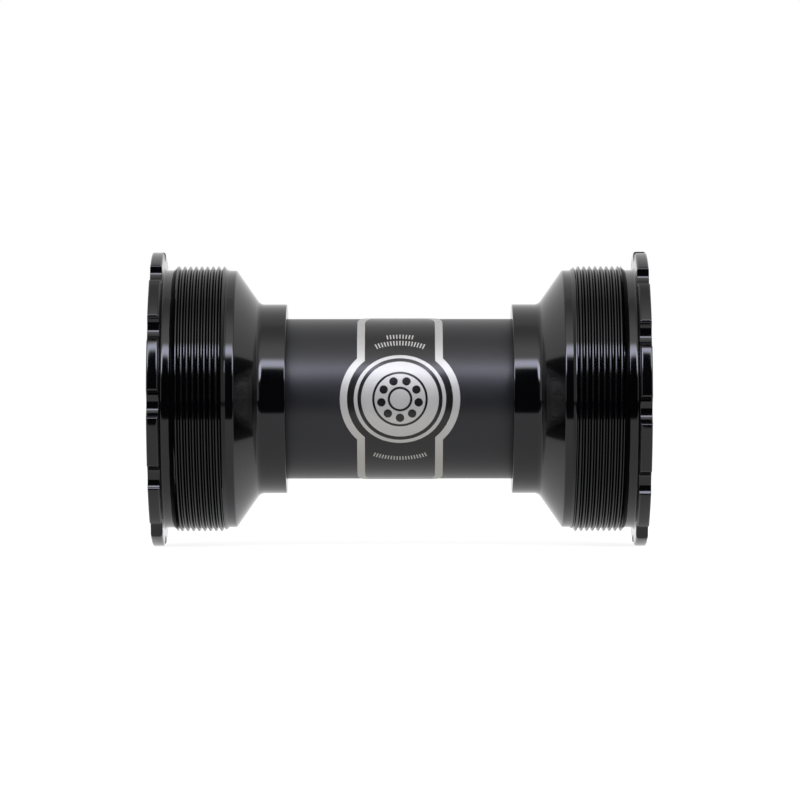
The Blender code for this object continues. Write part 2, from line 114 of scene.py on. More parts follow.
class NodeSheet:
    """A new material and short calls that add nodes to it."""

    def __init__(self, name: str) -> None:
        """Start a material that has only its Principled shader.

        Args:
            name: the material's name.
        """
        self.material = bpy.data.materials.new(name)
        self.material.use_nodes = True
        self.tree = self.material.node_tree
        self.shader = self.tree.nodes["Principled BSDF"]

    def add(self, kind: str, **settings: Any) -> bpy.types.Node:
        """Add a node.

        Args:
            kind: the node's type name.
            settings: attributes to set on the node.

        Returns:
            The new node.
        """
        node = self.tree.nodes.new(kind)
        for key, value in settings.items():
            setattr(node, key, value)
        return node

    def feed(self, socket: bpy.types.NodeSocket, value: Any) -> None:
        """Link a value to a socket, or set it there if it is a plain number or colour."""
        if isinstance(value, Field):
            value = value.socket
        if isinstance(value, bpy.types.NodeSocket):
            self.tree.links.new(value, socket)
        else:
            socket.default_value = value

    def math(self, operation: str, *values: Any) -> "Field":
        """A Math node's result for the given operation and operands."""
        node = self.add("ShaderNodeMath", operation=operation)
        for socket, value in zip(node.inputs, values):
            self.feed(socket, value)
        return Field(self, node.outputs[0])

    def place(self) -> tuple["Field", "Field", "Field"]:
        """The surface point's x, y and z in millimetres, in the piece's own frame."""
        coordinates = self.add("ShaderNodeTexCoord")
        scale = self.add("ShaderNodeVectorMath", operation="SCALE")
        self.feed(scale.inputs[0], coordinates.outputs["Object"])
        self.feed(scale.inputs["Scale"], 1.0 / MM)
        split = self.add("ShaderNodeSeparateXYZ")
        self.feed(split.inputs[0], scale.outputs[0])
        return tuple(Field(self, split.outputs[axis]) for axis in range(3))

    def normal_x(self) -> "Field":
        """The part of the surface's normal that lies along the spindle's axis."""
        split = self.add("ShaderNodeSeparateXYZ")
        self.feed(split.inputs[0], self.add("ShaderNodeNewGeometry").outputs["Normal"])
        return Field(self, split.outputs[0])

    def vector(self, *parts: Any) -> bpy.types.NodeSocket:
        """A vector made of up to three numbers."""
        node = self.add("ShaderNodeCombineXYZ")
        for socket, value in zip(node.inputs, parts):
            self.feed(socket, value)
        return node.outputs[0]

    def length(self, *parts: Any) -> "Field":
        """The length of the vector made of up to three numbers."""
        node = self.add("ShaderNodeVectorMath", operation="LENGTH")
        self.feed(node.inputs[0], self.vector(*parts))
        return Field(self, node.outputs["Value"])

    def noise(self, vector: bpy.types.NodeSocket, scale: float, detail: float) -> "Field":
        """A noise field from 0 to 1.

        Args:
            vector: where to read the noise, in millimetres.
            scale: features per millimetre.
            detail: how many finer layers it has.

        Returns:
            The noise's value.
        """
        node = self.add("ShaderNodeTexNoise")
        self.feed(node.inputs["Vector"], vector)
        self.feed(node.inputs["Scale"], scale)
        self.feed(node.inputs["Detail"], detail)
        return Field(self, node.outputs[0])

    def blend(self, factor: Any, first: Any, second: Any) -> bpy.types.NodeSocket:
        """A colour between two colours.

        Args:
            factor: 0 for the first colour and 1 for the second.
            first: linear red, green and blue, or a colour's socket.
            second: the same for the second colour.

        Returns:
            The colour's socket.
        """
        node = self.add("ShaderNodeMix", data_type="RGBA")
        self.feed(node.inputs[0], factor)
        for socket, colour in ((node.inputs[6], first), (node.inputs[7], second)):
            self.feed(socket, (*colour, 1.0) if isinstance(colour, tuple) else colour)
        return node.outputs[2]

    def bump(self, height: Any, depth: float) -> None:
        """Give the shader a bump.

        Args:
            height: the height field, from 0 to 1.
            depth: the height's size in millimetres.
        """
        node = self.add("ShaderNodeBump")
        self.feed(node.inputs["Height"], height)
        self.feed(node.inputs["Distance"], depth * MM)
        self.feed(self.shader.inputs["Normal"], node.outputs[0])

    def paint(self, values: dict[str, Any]) -> None:
        """Feed the Principled shader.

        Args:
            values: what goes into each of its inputs, by the input's name.
        """
        for name, value in values.items():
            self.feed(self.shader.inputs[name], value)


def operator(operation: str) -> Callable[..., "Field"]:
    """A method of Field that is one Math node.

    Args:
        operation: the Math node's operation.

    Returns:
        The method.
    """

    def run(self: "Field", *others: Any) -> "Field":
        """The Math node's result for this value and the others."""
        return self.sheet.math(operation, self, *others)

    return run


class Field:
    """A number that varies over a surface, which takes part in ordinary arithmetic.

    A comparison is 1 where it holds and 0 elsewhere. turn_from is the angle in radians of the
    direction (other, this).
    """

    __add__ = operator("ADD")
    __sub__ = operator("SUBTRACT")
    __mul__ = operator("MULTIPLY")
    __abs__ = operator("ABSOLUTE")
    __lt__ = operator("LESS_THAN")
    __gt__ = operator("GREATER_THAN")
    greater = operator("MAXIMUM")
    lesser = operator("MINIMUM")
    turn_from = operator("ARCTAN2")
    sine = operator("SINE")
    cosine = operator("COSINE")

    def __init__(self, sheet: NodeSheet, socket: bpy.types.NodeSocket) -> None:
        """Wrap a node's output socket."""
        self.sheet = sheet
        self.socket = socket

    def __rsub__(self, other: float) -> "Field":
        """Difference from a number."""
        return self.sheet.math("SUBTRACT", other, self)

    def __neg__(self) -> "Field":
        """Negative."""
        return self.sheet.math("MULTIPLY", self, -1.0)

    def between(self, low: float, high: float) -> "Field":
        """1 where this is between two values."""
        return (self > low) * (self < high)

    def repeat(self, step: float) -> "Field":
        """This value's distance past the last whole step, measured from the step's middle."""
        return self.sheet.math("FLOORED_MODULO", self, step) - step / 2

    def spread(self, low: float, high: float) -> "Field":
        """A field from 0 to 1 stretched over another range."""
        return self * (high - low) + low

    def ramp(self, start: float, end: float) -> "Field":
        """A smooth rise from 0 at one value to 1 at another, or a fall if the first is larger."""
        node = self.sheet.add("ShaderNodeMapRange", interpolation_type="SMOOTHSTEP")
        low, high = min(start, end), max(start, end)
        results = (0.0, 1.0) if start < end else (1.0, 0.0)
        for socket, value in zip(node.inputs, (self, low, high, *results)):
            self.sheet.feed(socket, value)
        return Field(self.sheet, node.outputs[0])


# --- Finishes ---


@dataclass(frozen=True)
class Finish:
    """A surface finish. Its material is made once and shared.

    Attributes:
        name: the material's name.
        slot: the CAD record's material slot; not used.
        colour: linear base colour.
        roughness: lowest and highest roughness over the surface.
    """

    name: str
    slot: Slot
    colour: tuple[float, float, float]
    roughness: tuple[float, float]

    def material(self) -> bpy.types.Material:
        """The finish's material, made at the first call."""
        found = bpy.data.materials.get(self.name)
        if found is None:
            sheet = NodeSheet(self.name)
            self.dress(sheet)
            found = sheet.material
        return found

    def dress(self, sheet: NodeSheet) -> None:
        """Add the finish's nodes to its sheet."""
        raise NotImplementedError


@dataclass(frozen=True)
class Turned(Finish):
    """Metal turned on a lathe, with faint rings about the spindle's axis.

    Attributes:
        worn_colour: the colour in the lighter patches.
        metallic: 1 for bare metal and 0 for a dark coloured coat.
        ior: index of refraction of the coat.
        ring_pitch: distance between turning marks.
        ring_depth: their depth.
        grooves: from and to which distance from the centre plane a thread is cut.
        flank_shade_specular: specular level on the thread's flanks, kept low there as painted shade
            that darkens the grooves.
        flank_slope: how far along the axis the normal leans where a flank starts, and on it.
        cloud_scale: how many soft patches there are in a millimetre.
        cloud_share: how much of the change in gloss is due to them.
    """

    worn_colour: tuple[float, float, float] = (0.02, 0.02, 0.02)
    metallic: float = 0.0
    ior: float = 1.5
    ring_pitch: float = 0.05
    ring_depth: float = 0.0004
    grooves: tuple[float, float] = (0.0, 0.0)
    flank_shade_specular: float = PLAIN_SPECULAR
    flank_slope: tuple[float, float] = (0.5, 0.8)
    cloud_scale: float = 0.22
    cloud_share: float = 0.7

    def dress(self, sheet: NodeSheet) -> None:
        """Turning marks in the bump, soft cloudy changes in colour and gloss, and painted shade in
        the thread's grooves as a lower specular level on their flanks.
        """
        x, y, z = sheet.place()
        radius = sheet.length(y, z)
        rings = sheet.noise(sheet.vector(x, radius, 0.0), 1.0 / self.ring_pitch, detail=2.0)
        clouds = sheet.noise(sheet.vector(x, y, z), self.cloud_scale, detail=4.0)
        change = clouds * self.cloud_share + rings * (1.0 - self.cloud_share)
        # painted shade: flanks within the thread's length, picked out by how far the normal leans
        # along the axis, get a lower specular level so the grooves look dark
        flank = abs(sheet.normal_x()).ramp(*self.flank_slope) * abs(x).between(*self.grooves)
        sheet.paint({
            "Base Color": sheet.blend(clouds, self.colour, self.worn_colour),
            "Roughness": change.spread(*self.roughness),
            "Metallic": self.metallic,
            "IOR": self.ior,
            "Specular IOR Level": flank.spread(PLAIN_SPECULAR, self.flank_shade_specular),
        })
        sheet.bump(rings, self.ring_depth)


@dataclass(frozen=True)
class Moulded(Finish):
    """Moulded plastic or rubber with a fine grain.

    Attributes:
        light_colour: the colour in the lighter patches.
        grain: size of the grain.
        grain_depth: its depth.
        cloud_scale: how many soft patches of colour there are in a millimetre.
    """

    light_colour: tuple[float, float, float] = (0.03, 0.03, 0.03)
    grain: float = 0.12
    grain_depth: float = 0.004
    cloud_scale: float = 0.3

    def dress(self, sheet: NodeSheet) -> None:
        """Grain in the bump and in the gloss, and a slow change of colour."""
        here = sheet.vector(*sheet.place())
        grain = sheet.noise(here, 1.0 / self.grain, detail=3.0)
        clouds = sheet.noise(here, self.cloud_scale, detail=3.0)
        sheet.paint({
            "Base Color": sheet.blend(clouds, self.colour, self.light_colour),
            "Roughness": grain.spread(*self.roughness),
        })
        sheet.bump(grain, self.grain_depth)


@dataclass(frozen=True)
class MarkRow:
    """A row of short marks on an arc round the print's middle.

    Attributes:
        above: whether it lies above the middle, and not below it.
        band: inner and outer radius of the marks.
        half_turn: half of the angle that the row covers.
        count: how many marks it has.
    """

    above: bool
    band: tuple[float, float]
    half_turn: float
    count: int


@dataclass(frozen=True)
class PrintedFilm(Finish):
    """A satin silver film with a black print: a band with a round middle.

    Attributes:
        dull_colour: the film's colour between its brightest brush strokes.
        ink: colour of the black print.
        radius: radius of the film round the sleeve.
        centre_x: place of the print's middle along the sleeve.
        centre_around: place of the print's middle above the front.
        band_half_width: half the width of the black band.
        band_end: where the band's round end begins, from the middle.
        disc_radius: radius of the band's black round middle.
        rim: inner and outer radius of the silver ring in it.
        line: inner and outer radius of the black ring on the disc's edge.
        races: inner and outer radius of each of the two rings of the disc's emblem.
        balls: how many dots lie between them.
        ball_place: distance of the dots' centres from the middle.
        ball_radius: the dots' radius.
        mark_rows: the rows of marks on the band.
        mark_share: half of a mark's width, as a part of the step to the next mark.
        strokes: how many brush strokes there are in a millimetre, along the sleeve and round it.
        stroke_depth: their depth.
        cloud_scale: how many soft patches of gloss there are in a millimetre.
        metallic: how metallic the silver is.
        ior: index of refraction of the film's coat.
        ink_smoothness: how much less rough the print is.
    """

    dull_colour: tuple[float, float, float] = (0.257, 0.250, 0.223)
    ink: tuple[float, float, float] = (0.004, 0.0035, 0.003)
    radius: float = 14.2
    centre_x: float = 0.1
    centre_around: float = -0.05
    band_half_width: float = 6.15
    band_end: float = 17.0
    disc_radius: float = 9.25
    rim: tuple[float, float] = (7.43, 8.06)
    line: tuple[float, float] = (6.78, 7.43)
    races: tuple[tuple[float, float], tuple[float, float]] = ((1.75, 2.15), (4.45, 4.85))
    balls: int = 9
    ball_place: float = 3.3
    ball_radius: float = 0.74
    mark_rows: tuple[MarkRow, ...] = (
        MarkRow(True, (11.85, 12.95), 11.5, 9),
        MarkRow(True, (10.2, 11.3), 24.0, 17),
        MarkRow(False, (11.1, 12.0), 24.0, 19),
    )
    mark_share: float = 0.22
    strokes: tuple[float, float] = (0.35, 9.0)
    stroke_depth: float = 0.0006
    cloud_scale: float = 0.4
    metallic: float = 0.55
    ior: float = 1.4
    ink_smoothness: float = 0.18

    def marks(self, row: MarkRow, along: Field, around: Field) -> Field:
        """One row of marks.

        Args:
            row: the row.
            along: distance from the print's middle along the sleeve.
            around: distance from the print's middle round the sleeve, upwards.

        Returns:
            1 on a mark and 0 elsewhere.
        """
        turn = along.turn_from(around if row.above else -around)
        half = math.radians(row.half_turn)
        step = 2 * half / row.count
        mark = abs((turn + half).repeat(step)) < step * self.mark_share
        away = along.sheet.length(along, around)
        return mark * away.between(*row.band) * (abs(turn) < half)

    def bearing_sign(self, away: Field, turn: Field) -> Field:
        """The disc's emblem: a plain ball bearing seen along its axis.

        Args:
            away: distance from the print's middle.
            turn: angle from the upward direction.

        Returns:
            1 on the emblem and 0 elsewhere.
        """
        swing = turn.repeat(math.tau / self.balls)
        side = away * swing.sine()
        front = away * swing.cosine() - self.ball_place
        sign = swing.sheet.length(side, front) < self.ball_radius
        for race in self.races:
            sign = sign.greater(away.between(*race))
        return sign

    def dress(self, sheet: NodeSheet) -> None:
        """The print's masks, and a fine brushing of the silver along the sleeve."""
        x, y, z = sheet.place()
        around = z.turn_from(-y) * self.radius - self.centre_around
        along = x - self.centre_x
        away = sheet.length(along, around)
        end = (abs(around) - self.band_end).greater(0.0)
        band = sheet.length(along, end) - self.band_half_width
        black = (band.lesser(away - self.disc_radius) < 0.0) * (away > self.rim[1])
        for row in self.mark_rows:
            black = black * (1.0 - self.marks(row, along, around))
        sign = self.bearing_sign(away, along.turn_from(around))
        printed = black.greater(away.between(*self.line)).greater(sign)
        bare = 1.0 - printed
        grain = sheet.vector(along * self.strokes[0], around * self.strokes[1], 0.0)
        brushed = sheet.noise(grain, 1.0, detail=3.0)
        clouds = sheet.noise(sheet.vector(x, y, z), self.cloud_scale, detail=3.0)
        silver = sheet.blend(brushed, self.dull_colour, self.colour)
        sheet.paint({
            "Base Color": sheet.blend(printed, silver, self.ink),
            "Metallic": bare * self.metallic,
            "IOR": self.ior,
            "Roughness": clouds.spread(*self.roughness) - printed * self.ink_smoothness,
        })
        sheet.bump(brushed * bare, self.stroke_depth)


ANODISED = Turned(
    "anodised_black", Slot.CUP, (0.0004, 0.0004, 0.0005), (0.08, 0.12),
    worn_colour=(0.0009, 0.0009, 0.0011), ior=1.40, ring_pitch=0.25, ring_depth=0.0002,
    # the low specular level on the thread's flanks is painted shade in the grooves
    grooves=(30.0, 39.75), flank_shade_specular=0.12,
)
SATIN_BLACK = Turned(
    "satin_black_tube", Slot.SLEEVE, (0.004, 0.004, 0.0045), (0.33, 0.38),
    worn_colour=(0.006, 0.006, 0.0066), ior=1.37, ring_pitch=0.10, ring_depth=0.0006,
)
GROUND_STEEL = Turned(
    "ground_bearing_steel", Slot.BEARING_STEEL, (0.52, 0.52, 0.53), (0.16, 0.26),
    worn_colour=(0.60, 0.60, 0.61), metallic=1.0, ring_pitch=0.05, ring_depth=0.0006,
)
POLISHED_STEEL = Turned(
    "polished_ball_steel", Slot.BALL_STEEL, (0.66, 0.66, 0.67), (0.03, 0.07),
    worn_colour=(0.70, 0.70, 0.71), metallic=1.0, ring_pitch=0.4, ring_depth=0.00002,
)
LABEL_FILM = PrintedFilm("label_film", Slot.LABEL, (0.292, 0.286, 0.262), (0.40, 0.46))
CAGE_NYLON = Moulded(
    "cage_nylon", Slot.CAGE, (0.62, 0.57, 0.45), (0.38, 0.50),
    light_colour=(0.70, 0.66, 0.55), grain=0.3, grain_depth=0.004,
)
SEAL_RUBBER = Moulded(
    "seal_rubber", Slot.SEAL, (0.010, 0.010, 0.011), (0.50, 0.66),
    light_colour=(0.018, 0.018, 0.018), grain=0.08, grain_depth=0.004,
)
O_RING_RUBBER = Moulded(
    "o_ring_rubber", Slot.O_RING, (0.008, 0.008, 0.008), (0.34, 0.48),
    light_colour=(0.014, 0.014, 0.014), grain=0.10, grain_depth=0.003,
)
BLACK_ACETAL = Moulded(
    "bushing_acetal", Slot.BUSHING, (0.012, 0.012, 0.013), (0.30, 0.42),
    light_colour=(0.018, 0.018, 0.019), grain=0.15, grain_depth=0.002,
)


# --- Outlines and ring meshes ---


@dataclass(frozen=True)
class Corner:
    """A corner of an outline.

    Attributes:
        u: first coordinate.
        r: second coordinate.
        rounding: radius of the arc that takes the corner's place, or 0.
        steps: how many segments the arc has.
    """

    u: float
    r: float
    rounding: float = 0.0
    steps: int = 4

    @property
    def at(self) -> Vector:
        """The corner as a vector."""
        return Vector((self.u, self.r))


def outline(corners: Sequence[Corner]) -> list[Vector]:
    """The points of an outline with its corners rounded.

    Args:
        corners: the outline's corners in order. The first and the last are neighbours.

    Returns:
        The outline's points in order.
    """
    points = []
    for index, corner in enumerate(corners):
        if corner.rounding == 0.0:
            points.append(corner.at)
            continue
        back = (corners[index - 1].at - corner.at).normalized()
        on = (corners[(index + 1) % len(corners)].at - corner.at).normalized()
        half = back.angle(on) / 2
        centre = corner.at + (back + on).normalized() * corner.rounding / math.sin(half)
        reach = corner.rounding / math.tan(half)
        first = (corner.at + back * reach - centre).normalized()
        last = (corner.at + on * reach - centre).normalized()
        for step in range(corner.steps + 1):
            points.append(centre + corner.rounding * first.slerp(last, step / corner.steps))
    return points


def arc(
    centre: tuple[float, float], radius: float, ends: tuple[float, float], steps: int
) -> list[Corner]:
    """Corners along an arc.

    Args:
        centre: the arc's centre (u, r).
        radius: its radius.
        ends: its first and last angle, from the u direction towards r.
        steps: how many segments it has.

    Returns:
        The corners, first and last included.
    """
    made = []
    start, end = ends
    for step in range(steps + 1):
        angle = math.radians(start + (end - start) * step / steps)
        u, r = centre[0] + radius * math.cos(angle), centre[1] + radius * math.sin(angle)
        made.append(Corner(u, r))
    return made


@dataclass
class RingMesh:
    """A closed mesh made of rings of points about the spindle's axis.

    Attributes:
        sign: 1 where u runs along +X and -1 where it runs along -X.
        phi: angles of a ring's points in degrees.
        points: blocks of points in metres.
        faces: blocks of four point numbers.
        count: how many points it has.
    """

    sign: float = 1.0
    phi: np.ndarray | None = None
    points: list[np.ndarray] = field(default_factory=list)
    faces: list[np.ndarray] = field(default_factory=list)
    count: int = 0

    def add(self, points: np.ndarray) -> np.ndarray:
        """Add points and return their numbers."""
        numbers = np.arange(self.count, self.count + len(points))
        self.points.append(points)
        self.count += len(points)
        return numbers

    def ring(self, u: Any, r: Any, phi: np.ndarray | None = None) -> np.ndarray:
        """Add one ring of points.

        Args:
            u: distance from the centre plane, one number or one for each point.
            r: radius, one number or one for each point.
            phi: the points' angles, where they aren't those of the other rings.

        Returns:
            The numbers of the ring's points.
        """
        turn = np.radians(self.phi if phi is None else phi)
        across = np.broadcast_to(self.sign * np.asarray(u, float), turn.shape)
        return self.add(np.column_stack((across, -r * np.cos(turn), r * np.sin(turn))) * MM)

    def rows(self, points: Sequence[Vector]) -> list[np.ndarray]:
        """Add a ring for each (u, r) point of an outline."""
        return [self.ring(point.x, point.y) for point in points]

    def quads(self, *edges: np.ndarray) -> None:
        """Add a face for each row of four lists of point numbers."""
        self.faces.append(np.column_stack(edges))

    def bridge(self, first: np.ndarray, second: np.ndarray) -> None:
        """Join two rings with a band of faces."""
        self.quads(first, np.roll(first, -1), np.roll(second, -1), second)

    def bridge_all(self, rings: Sequence[np.ndarray], closed: bool = False) -> None:
        """Join each ring with the next one, and the last with the first if closed."""
        for first, second in zip(rings, rings[1:]):
            self.bridge(first, second)
        if closed:
            self.bridge(rings[-1], rings[0])

    def mesh(self, name: str) -> bpy.types.Mesh:
        """The finished mesh, welded, facing outwards and shaded smooth.

        Args:
            name: the mesh's name.

        Returns:
            The mesh.
        """
        mesh = bpy.data.meshes.new(name)
        points, faces = np.concatenate(self.points), np.concatenate(self.faces)
        mesh.from_pydata(points.tolist(), [], faces.tolist())
        return tidy_mesh(mesh)


def tidy_mesh(mesh: bpy.types.Mesh, weld: bool = True) -> bpy.types.Mesh:
    """Weld a mesh, face it outwards and shade it smooth with its sharp edges kept.

    Args:
        mesh: the mesh to change.
        weld: whether to merge points that coincide.

    Returns:
        The same mesh.
    """
    shape = bmesh.new()
    shape.from_mesh(mesh)
    if weld:
        bmesh.ops.remove_doubles(shape, verts=shape.verts[:], dist=WELD_DISTANCE)
        bmesh.ops.dissolve_degenerate(shape, edges=shape.edges[:], dist=WELD_DISTANCE)
    bmesh.ops.recalc_face_normals(shape, faces=shape.faces[:])
    shape.to_mesh(mesh)
    shape.free()
    mesh.shade_smooth()
    mesh.set_sharp_from_angle(angle=SHARP_ANGLE)
    return mesh


def show(name: str, mesh: bpy.types.Mesh, finish: Finish, body: str, *nodes: str) -> bpy.types.Object:
    """Put a mesh in the scene as a piece of the bracket.

    Args:
        name: the piece's name.
        mesh: its mesh, in the CAD model's frame.
        finish: its finish.
        body: the CAD body that it rides on.
        nodes: the CAD nodes that it stands for.

    Returns:
        The piece.
    """
    piece = bpy.data.objects.new(name, mesh)
    bpy.context.scene.collection.objects.link(piece)
    mesh.materials.clear()
    mesh.materials.append(finish.material())
    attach(piece, body)
    if nodes:
        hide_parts(*nodes)
    LOG.info("%s: %d faces, rides on %s", name, len(mesh.polygons), body)
    return piece


def turned_mesh(name: str, corners: Sequence[Corner], sign: float, columns: int) -> bpy.types.Mesh:
    """A ring turned about the axis from a closed (u, r) outline.

    Args:
        name: the mesh's name.
        corners: the outline's corners.
        sign: 1 where u runs along +X and -1 where it runs along -X.
        columns: how many points each ring has.

    Returns:
        The mesh.
    """
    rings = RingMesh(sign, np.arange(columns) * 360.0 / columns)
    rings.bridge_all(rings.rows(outline(corners)), closed=True)
    return rings.mesh(name)


@dataclass
class SidePiece:
    """One or more pieces of one side. Their names are given without their side."""

    side: Side

    def put(self, name: str, mesh: bpy.types.Mesh, finish: Finish, body: str, node: str) -> None:
        """Put a mesh in the scene as a piece of this side."""
        show(self.side.node(name), mesh, finish, self.side.node(body), self.side.node(node))


@dataclass
class TurnedPiece(SidePiece):
    """Pieces of one side that are turned from plain outlines."""

    columns: int = 192

    def turn(
        self, name: str, corners: Sequence[Corner], finish: Finish, body: str, node: str
    ) -> None:
        """Turn a ring from its outline and put it in the scene as a piece of this side."""
        mesh = turned_mesh(self.side.node(name), corners, self.side.sign, self.columns)
        self.put(name, mesh, finish, body, node)


# --- Cup ---


@dataclass
class ThreadedCup(SidePiece):
    """A cup: collar, cone, land, thread, relief and a flange with tool notches.

    Places are distances from the bracket's centre plane. A notch's columns are counted from
    its middle, and its rim runs over a land to the next notch.
    """

    collar_end: float = 19.87
    collar_radius: float = 16.75
    cone_end: float = 28.77
    cone_slope: float = 1.43
    cone_fillet: float = 1.4
    land_radius: float = 22.75
    collar_rounding: float = 0.25
    land_rounding: float = 0.45
    mouth_rounding: float = 0.3
    groove_cut: float = 0.2
    groove_step: float = 0.02
    thread_start: float = 30.1
    thread_end: float = 39.15
    thread_lead_in: float = 0.85
    groove_end: float = 0.25
    end_chamfer: float = 0.68
    crest_radius: float = 23.5
    root_radius: float = 22.90
    pitch: float = 1.0
    crest_width: float = 0.21
    crest_bevel: float = 0.04
    flank_angle: float = 30.0
    relief_radius: float = 22.82
    relief_fillet: float = 0.3
    flange_inner: float = 41.5
    flange_outer: float = 43.6
    flange_radius: float = 26.1
    flange_roundings: tuple[float, float] = (0.5, 0.35)
    flange_fillet: float = 0.65
    face_ring_radius: float = 23.9
    notch_count: int = 12
    notch_width: float = 4.8
    notch_radius: float = 2.5
    notch_centre: float = 26.8
    notch_arc: tuple[float, float] = (210.0, 330.0)
    notch_steps: int = 18
    notch_edge_rounding: float = 0.5
    notch_deburr: float = 0.06
    land_angles: tuple[float, ...] = (-12.8, -10.6, -8.8)
    column_gap: float = 1.2
    rounding_parts: tuple[float, ...] = (0.3, 0.5, 0.75, 1.0)
    notch_turns: tuple[tuple[Side, float], ...] = ((Side.DRIVE, -4.5), (Side.NON_DRIVE, -1.9))
    crest_places: tuple[tuple[Side, float], ...] = ((Side.DRIVE, 30.4), (Side.NON_DRIVE, 30.7))
    seat_radius: float = 18.5
    seat_rounding: float = 0.4
    shoulder: float = 35.9
    chamber_radius: float = 17.0
    lip: tuple[float, float, float] = (27.3, 28.5, 13.3)
    bore_radius: float = 14.25
    inner_roundings: tuple[float, float] = (0.1, 0.2)
    chamber_fillet: float = 0.5
    o_ring_groove: tuple[float, float, float] = (22.0, 23.9, 15.45)

    def build(self) -> None:
        """Build the cup and put it in the scene."""
        rim, phi = self.notched_rim()
        rings = RingMesh(self.side.sign, phi)
        outside = self.outside(rings)
        self.thread(rings)
        flange = self.flange(rings, rim)
        inside = self.inside(rings)
        rings.bridge_all(outside)
        rings.bridge_all([*flange, *inside])
        rings.bridge(inside[-1], outside[0])
        self.put("threaded_cup", rings.mesh(self.side.node("threaded_cup")), ANODISED, "cup", "cup")

    def outside(self, rings: RingMesh) -> list[np.ndarray]:
        """Collar, cone and land, up to where the thread starts.

        Args:
            rings: the mesh to add to.

        Returns:
            The rings' point numbers, from the collar's end face outwards.
        """
        cone_start = self.cone_end - (self.land_radius - self.collar_radius) / self.cone_slope
        corners = [
            Corner(self.collar_end, self.bore_radius, self.mouth_rounding),
            Corner(self.collar_end, self.collar_radius, self.collar_rounding),
            Corner(cone_start, self.collar_radius, self.cone_fillet, 8),
            Corner(self.cone_end, self.land_radius, self.land_rounding, 6),
            Corner(self.thread_start - self.groove_cut, self.land_radius),
            Corner(self.thread_start, self.land_radius + self.groove_step),
            Corner(self.thread_start, self.bore_radius),
        ]
        return rings.rows(outline(corners)[:-1])

    def thread_limits(self, u: np.ndarray, radius: float) -> np.ndarray:
        """Keep a row of the thread under its lead-in, and over the wall that ends its groove.

        Args:
            u: places of the row's points.
            radius: the row's radius in the middle of the thread.

        Returns:
            The row's radius at each point.
        """
        lead_in = [self.thread_start, self.thread_start + self.thread_lead_in]
        highest = np.interp(u, lead_in, [self.land_radius + self.groove_step, self.crest_radius])
        wall = [self.thread_end - self.groove_end, self.thread_end]
        lowest = np.interp(u, wall, [self.land_radius, self.crest_radius])
        return np.clip(radius, lowest, np.maximum(lowest, highest))

    def thread(self, rings: RingMesh) -> None:
        """Add the helical thread. Its rows run along the helix between the thread's two ends.

        Args:
            rings: the mesh to add to, whose columns' angles rise through one turn.
        """
        slope = math.tan(math.radians(self.flank_angle))
        shoulder = self.crest_radius - self.crest_bevel * slope
        flank = (shoulder - self.root_radius) * slope
        middle = (self.root_radius + shoulder) / 2
        half_crest, half_pitch = self.crest_width / 2, self.pitch / 2
        profile = [
            (-half_pitch, self.root_radius),
            (-half_crest - flank, self.root_radius),
            (-half_crest - flank / 2, middle),
            (-half_crest, shoulder),
            (-half_crest + self.crest_bevel, self.crest_radius),
            (half_crest - self.crest_bevel, self.crest_radius),
            (half_crest, shoulder),
            (half_crest + flank / 2, middle),
            (half_crest + flank, self.root_radius),
        ]
        crest_place = dict(self.crest_places)[self.side]
        turn = (rings.phi - rings.phi[0]) / 360.0
        start = crest_place + self.pitch * rings.phi[0] / 360.0
        start -= self.pitch * math.ceil((start - self.thread_start) / self.pitch + 1.0)
        turns = math.ceil((self.thread_end - start) / self.pitch) + 1
        rows = []
        for lap in range(turns):
            for place, radius in profile:
                u = start + place + self.pitch * (lap + turn)
                u = np.clip(u, self.thread_start, self.thread_end)
                rows.append(rings.ring(u, self.thread_limits(u, radius)))
        self.join_thread_rows(rings, rows, len(profile))

    def join_thread_rows(self, rings: RingMesh, rows: list[np.ndarray], lap: int) -> None:
        """Join the thread's rows. After a full turn a row goes on as the one a pitch further.

        Args:
            rings: the mesh to add to.
            rows: the rows' point numbers.
            lap: how many rows one pitch has.
        """
        last = len(rows) - 1

        def ahead(row: int) -> np.ndarray:
            """Each point's next neighbour along the helix."""
            return np.append(rows[row][1:], rows[min(row + lap, last)][0])

        for row in range(last):
            rings.quads(rows[row], ahead(row), ahead(row + 1), rows[row + 1])

    def notched_rim(self) -> tuple[np.ndarray, np.ndarray]:
        """The flange's rim with its tool notches.

        Returns:
            The rim's points as (across, up) for each column, and the angle of each column
            elsewhere on the cup.
        """
        half = self.notch_width / 2
        pitch_angle = 360.0 / self.notch_count
        top = math.sqrt(self.flange_radius**2 - half**2)
        land = [-pitch_angle / 2, *self.land_angles]
        left = [self.on_rim(angle) for angle in land]
        left.append(Corner(-half, top, self.notch_edge_rounding, 4))
        bottom = arc((0.0, self.notch_centre), self.notch_radius, self.notch_arc, self.notch_steps)
        right = [Corner(-corner.u, corner.r, corner.rounding, corner.steps) for corner in left[:0:-1]]
        closing = [self.on_rim(-land[0]), Corner(0.0, 0.0)]
        points = outline([*left, *bottom, *right, *closing])[:-2]
        first = land[-1] + self.column_gap
        inner = np.linspace(first, -first, len(points) - 2 * len(land) + 1)
        angles = [*land, *inner, *(-angle for angle in land[:0:-1])]
        rim, phi = [], []
        for notch in range(self.notch_count):
            middle = dict(self.notch_turns)[self.side] + notch * pitch_angle
            spin = Matrix.Rotation(math.radians(middle), 2)
            for point, angle in zip(points, angles):
                rim.append(spin @ Vector((point.y, point.x)))
                phi.append(middle + angle)
        return np.array(rim), np.array(phi)

    def on_rim(self, angle: float) -> Corner:
        """The point of the flange's round edge at an angle from a notch's middle."""
        turn = math.radians(angle)
        return Corner(self.flange_radius * math.sin(turn), self.flange_radius * math.cos(turn))

